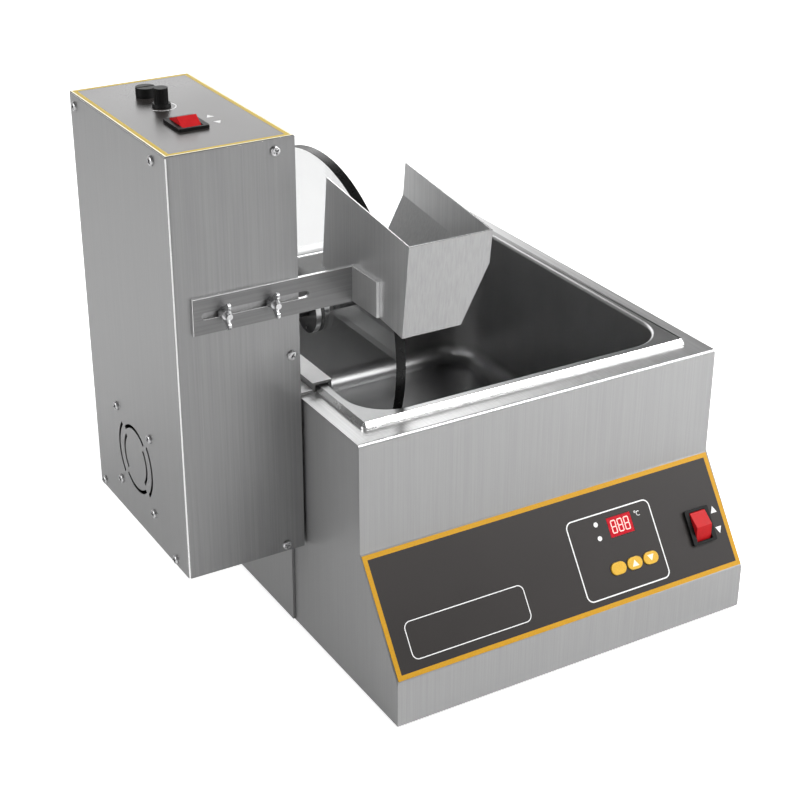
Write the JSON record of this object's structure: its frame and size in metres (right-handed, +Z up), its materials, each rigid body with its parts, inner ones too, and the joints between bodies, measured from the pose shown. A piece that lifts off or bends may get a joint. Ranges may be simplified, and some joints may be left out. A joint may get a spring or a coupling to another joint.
{
  "type": "chocolate melting tank",
  "caption": "Dry-heated chocolate melting tank with a lift-out pan and a clip-on motor mixer that turns a clear wheel through a scraper hopper.",
  "frame": {"origin": "middle of the whole footprint, tank and mixer together, on the floor", "axes": "+X to the right as one faces the control panel, +Y to the back, +Z up"},
  "size_m": [0.468, 0.46, 0.4734],
  "materials": {
    "brushed_steel": "brushed stainless sheet, grain upright",
    "satin_steel": "satin stainless",
    "polished_steel": "polished stainless",
    "aluminium": "mill finish",
    "rubber": "matt black",
    "heater": "mica-faced heater",
    "board": "solder-masked board",
    "black_plastic": "black moulded plastic",
    "red_plastic": "red moulded plastic",
    "red_window": "red display window",
    "film": "dark printed film with a gold border",
    "gold_key": "gold printed key",
    "motor": "painted motor and gearbox",
    "clear_plastic": "clear plastic with a polished edge"
  },
  "bodies": {
    "base": {"front_skin": "brushed_steel", "left_side": "brushed_steel", "right_side": "brushed_steel", "top_frame": "satin_steel", "rear_panel": "brushed_steel", "base_plate": "brushed_steel", "feet": "rubber", "heat_box": "aluminium", "heater_plate": "heater", "temp_probe": "satin_steel", "control_board": "board", "display_module": "black_plastic", "display_window": "red_window", "panel_film": "film", "power_switch": "black_plastic", "power_inlet": "black_plastic"},
    "pan": {"pan": "polished_steel"},
    "mixer": {"mixer_cover": "brushed_steel", "mixer_top": "brushed_steel", "mixer_base": "brushed_steel", "mixer_side": "brushed_steel", "mixer_film": "film", "hanger": "satin_steel", "hanger_bolts": "satin_steel", "gear_motor": "motor", "shaft_bush": "satin_steel", "fan_frame": "black_plastic", "drive_board": "board", "mixer_inlet": "black_plastic", "mixer_switch": "black_plastic", "fuse_holder": "black_plastic", "speed_pot": "satin_steel", "cover_screws": "satin_steel", "fan_screws": "satin_steel", "scraper_studs": "satin_steel"},
    "wheel": {"wheel_shaft": "satin_steel", "hub_flange": "satin_steel", "hub_washer": "rubber", "hub_nut": "satin_steel", "wheel_disc": "clear_plastic"},
    "scraper": {"scraper_bracket": "brushed_steel", "scraper_hopper": "brushed_steel"},
    "fan": {"fan_rotor": "black_plastic"},
    "knob": {"pot_shaft": "satin_steel", "speed_knob": "black_plastic"},
    "fuse_cap": {"fuse_cap": "black_plastic"},
    "mixer_rocker": {"mixer_rocker": "red_plastic"},
    "power_rocker": {"power_rocker": "red_plastic"},
    "key_set": {"key_set": "gold_key"},
    "key_up": {"key_up": "gold_key"},
    "key_down": {"key_down": "gold_key"},
    "wing_nut_a": {"wing_nut_a": "satin_steel"},
    "wing_nut_b": {"wing_nut_b": "satin_steel"}
  },
  "joints": [
    {"name": "pan_lift", "type": "slide", "parent": "base", "child": "pan", "axis": [0, 0, 1], "range_m": [0, 0.16]},
    {"name": "mixer_lift", "type": "slide", "parent": "pan", "child": "mixer", "axis": [0, 0, 1], "range_m": [0, 0.16]},
    {"name": "wheel_spin", "type": "hinge", "parent": "mixer", "child": "wheel", "pos_m": [-0.06005, 0.02045, 0.263], "axis": [1, 0, 0], "continuous": true},
    {"name": "fan_spin", "type": "hinge", "parent": "mixer", "child": "fan", "pos_m": [-0.21855, 0.0264, 0.1578], "axis": [1, 0, 0], "continuous": true},
    {"name": "speed_turn", "type": "hinge", "parent": "mixer", "child": "knob", "pos_m": [-0.18325, 0.0397, 0.4573], "axis": [0, 0, -1], "range_deg": [0, 280]},
    {"name": "fuse_turn", "type": "hinge", "parent": "mixer", "child": "fuse_cap", "pos_m": [-0.18325, 0.0717, 0.4573], "axis": [0, 0, 1], "range_deg": [0, 90]},
    {"name": "mixer_rock", "type": "hinge", "parent": "mixer", "child": "mixer_rocker", "pos_m": [-0.18575, -0.0135, 0.4573], "axis": [1, 0, 0], "range_deg": [-16, 0]},
    {"name": "power_rock", "type": "hinge", "parent": "base", "child": "power_rocker", "pos_m": [0.20245, -0.20448, 0.0809], "axis": [1, 0, 0], "range_deg": [-16, 0]},
    {"name": "scraper_slide", "type": "slide", "parent": "mixer", "child": "scraper", "axis": [1, 0, 0], "range_m": [-0.026, 0.009]},
    {"name": "wing_a_turn", "type": "hinge", "parent": "mixer", "child": "wing_nut_a", "pos_m": [-0.19175, -0.0807, 0.32675], "axis": [0, -1, 0], "range_deg": [0, 360]},
    {"name": "wing_b_turn", "type": "hinge", "parent": "mixer", "child": "wing_nut_b", "pos_m": [-0.14975, -0.0807, 0.32675], "axis": [0, -1, 0], "range_deg": [0, 360]},
    {"name": "key_set_press", "type": "slide", "parent": "base", "child": "key_set", "axis": [0, 0.8188, -0.5741], "range_m": [0, 0.0008], "stiffness_N_per_m": 2000},
    {"name": "key_up_press", "type": "slide", "parent": "base", "child": "key_up", "axis": [0, 0.8188, -0.5741], "range_m": [0, 0.0008], "stiffness_N_per_m": 2000},
    {"name": "key_down_press", "type": "slide", "parent": "base", "child": "key_down", "axis": [0, 0.8188, -0.5741], "range_m": [0, 0.0008], "stiffness_N_per_m": 2000}
  ]
}
